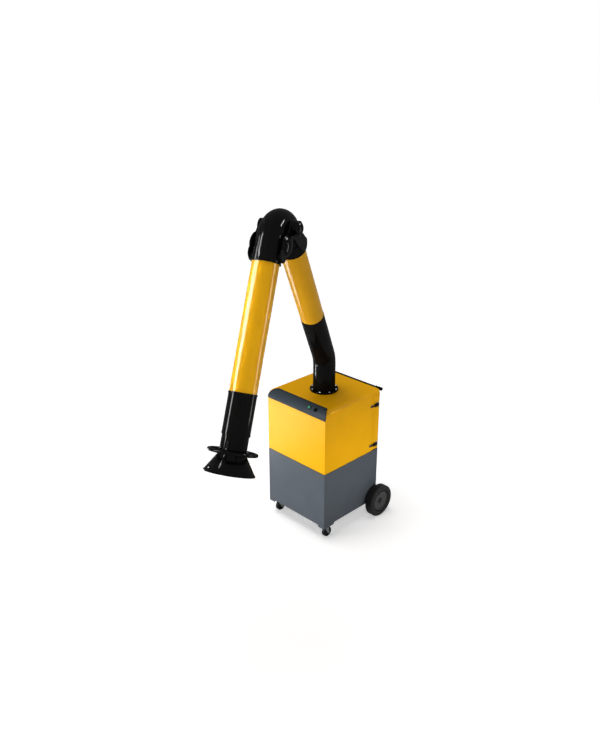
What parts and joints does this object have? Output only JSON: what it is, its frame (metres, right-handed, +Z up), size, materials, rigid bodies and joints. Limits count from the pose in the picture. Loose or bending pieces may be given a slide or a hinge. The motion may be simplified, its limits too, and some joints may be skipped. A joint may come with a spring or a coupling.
{
  "type": "mobile fume extractor",
  "caption": "Wheeled filter cabinet with a fan, a rear filter door and a jointed extraction arm that carries a tilting hood with a damper.",
  "frame": {"origin": "on the floor under the arm's column, at the middle of the cabinet", "axes": "+Z up, -Y out of the front with the control panel, +X to the side with the latches"},
  "size_m": [1.1309, 1.9765, 2.5695],
  "materials": {
    "yellow_paint": "semi-gloss paint",
    "grey_paint": "semi-gloss paint",
    "panel_grey": "satin",
    "black_plastic": "gloss",
    "green_plastic": "gloss",
    "hose_rubber": "satin",
    "tyre_rubber": "matte",
    "hub_plastic": "satin",
    "black_bar": "satin paint",
    "zinc_steel": "zinc plated",
    "fan_metal": "cast",
    "filter_board": "raw board",
    "filter_paper": "matte"
  },
  "bodies": {
    "cabinet": {"upper_housing": "yellow_paint", "lower_housing": "grey_paint", "control_panel": "panel_grey", "switch_bezels": "black_plastic", "push_bar_caps": "black_plastic", "arm_flange": "black_plastic", "cable_gland": "black_plastic", "axle_caps": "black_plastic", "control_box": "black_plastic", "push_bar": "black_bar", "push_bar_brackets": "black_bar", "mid_deck": "zinc_steel", "base_plate": "zinc_steel", "door_hinge_leaves": "zinc_steel", "latch_keepers": "zinc_steel", "rear_axle": "zinc_steel", "axle_brackets": "zinc_steel", "caster_plates": "zinc_steel", "flange_bolts": "zinc_steel", "spark_screen": "zinc_steel", "motor_plate": "zinc_steel", "fan_scroll": "zinc_steel", "exhaust_grille": "zinc_steel", "fan_motor": "fan_metal", "filter_frame": "filter_board", "filter_pleats": "filter_paper"},
    "fan": {"fan_impeller": "fan_metal"},
    "start_button": {"start_button": "green_plastic"},
    "stop_button": {"stop_button": "black_plastic"},
    "door": {"rear_door": "yellow_paint", "door_seal": "hose_rubber", "door_hinge_straps": "zinc_steel", "latch_bases": "zinc_steel"},
    "latch_upper": {"latch_lever_upper": "black_plastic"},
    "latch_lower": {"latch_lever_lower": "black_plastic"},
    "wheel_left": {"rear_tyre_left": "tyre_rubber", "rear_hub_left": "hub_plastic"},
    "wheel_right": {"rear_tyre_right": "tyre_rubber", "rear_hub_right": "hub_plastic"},
    "caster_left": {"caster_fork_left": "zinc_steel"},
    "caster_right": {"caster_fork_right": "zinc_steel"},
    "caster_left_wheel": {"caster_wheel_left": "tyre_rubber"},
    "caster_right_wheel": {"caster_wheel_right": "tyre_rubber"},
    "turret": {"swivel_sleeve": "black_plastic", "shoulder_yoke": "zinc_steel", "shoulder_pin": "zinc_steel", "base_hose": "hose_rubber"},
    "inner_arm": {"shoulder_link": "zinc_steel", "inner_tube": "yellow_paint", "elbow_inner_collar": "black_plastic", "elbow_hose": "hose_rubber"},
    "outer_arm": {"elbow_outer_collar": "black_plastic", "elbow_hinge_bosses": "black_plastic", "outer_tube": "yellow_paint", "hood_stem": "zinc_steel", "hood_hose": "hose_rubber"},
    "knuckle": {"hood_knuckle": "zinc_steel"},
    "hood": {"hood_cone": "black_plastic", "hood_ring": "black_plastic"},
    "damper": {"damper": "zinc_steel"}
  },
  "joints": [
    {"name": "arm_swivel", "type": "hinge", "parent": "cabinet", "child": "turret", "pos_m": [0, 0, 1.18], "axis": [0, 0, 1], "continuous": true},
    {"name": "shoulder_tilt", "type": "hinge", "parent": "turret", "child": "inner_arm", "pos_m": [0, 0, 1.336], "axis": [0.9219, 0.3875, 0], "range_deg": [-30, 40], "deforming": ["base_hose"]},
    {"name": "elbow_fold", "type": "hinge", "parent": "inner_arm", "child": "outer_arm", "pos_m": [0.31591, -0.75152, 2.46357], "axis": [0.9219, 0.3875, 0], "range_deg": [-95, 25], "deforming": ["elbow_hose"]},
    {"name": "hood_tilt", "type": "hinge", "parent": "outer_arm", "child": "knuckle", "pos_m": [0.53625, -1.27569, 1.4975], "axis": [0.9219, 0.3875, 0], "range_deg": [-40, 40], "deforming": ["hood_hose"]},
    {"name": "hood_swing", "type": "hinge", "parent": "knuckle", "child": "hood", "pos_m": [0.53625, -1.27569, 1.4975], "axis": [-0.3474, 0.8264, -0.4431], "range_deg": [-40, 40], "deforming": ["hood_hose"]},
    {"name": "damper_turn", "type": "hinge", "parent": "hood", "child": "damper", "pos_m": [0.57248, -1.36187, 1.30834], "axis": [-0.3474, 0.8264, -0.4431], "range_deg": [0, 90]},
    {"name": "door_swing", "type": "hinge", "parent": "cabinet", "child": "door", "pos_m": [-0.307, 0.226, 0.8], "axis": [0, 0, 1], "range_deg": [0, 110]},
    {"name": "latch_upper_throw", "type": "hinge", "parent": "door", "child": "latch_upper", "pos_m": [0.307, 0.281, 0.964], "axis": [0, 0, 1], "range_deg": [0, 100]},
    {"name": "latch_lower_throw", "type": "hinge", "parent": "door", "child": "latch_lower", "pos_m": [0.307, 0.281, 0.627], "axis": [0, 0, 1], "range_deg": [0, 100]},
    {"name": "start_press", "type": "slide", "parent": "cabinet", "child": "start_button", "axis": [0, 0.7071, -0.7071], "range_m": [0, 0.004], "stiffness_N_per_m": 800},
    {"name": "stop_press", "type": "slide", "parent": "cabinet", "child": "stop_button", "axis": [0, 0.7071, -0.7071], "range_m": [0, 0.004], "stiffness_N_per_m": 800},
    {"name": "fan_spin", "type": "hinge", "parent": "cabinet", "child": "fan", "pos_m": [0, 0, 0.5], "axis": [0, 0, 1], "continuous": true},
    {"name": "wheel_left_spin", "type": "hinge", "parent": "cabinet", "child": "wheel_left", "pos_m": [-0.342, 0.287, 0.13], "axis": [1, 0, 0], "continuous": true},
    {"name": "wheel_right_spin", "type": "hinge", "parent": "cabinet", "child": "wheel_right", "pos_m": [0.342, 0.287, 0.13], "axis": [1, 0, 0], "continuous": true},
    {"name": "caster_left_swivel", "type": "hinge", "parent": "cabinet", "child": "caster_left", "pos_m": [-0.258, -0.255, 0.12], "axis": [0, 0, 1], "continuous": true},
    {"name": "caster_left_roll", "type": "hinge", "parent": "caster_left", "child": "caster_left_wheel", "pos_m": [-0.258, -0.225, 0.04], "axis": [-1, 0, 0], "continuous": true},
    {"name": "caster_right_swivel", "type": "hinge", "parent": "cabinet", "child": "caster_right", "pos_m": [0.258, -0.255, 0.12], "axis": [0, 0, 1], "continuous": true},
    {"name": "caster_right_roll", "type": "hinge", "parent": "caster_right", "child": "caster_right_wheel", "pos_m": [0.258, -0.225, 0.04], "axis": [-1, 0, 0], "continuous": true}
  ]
}
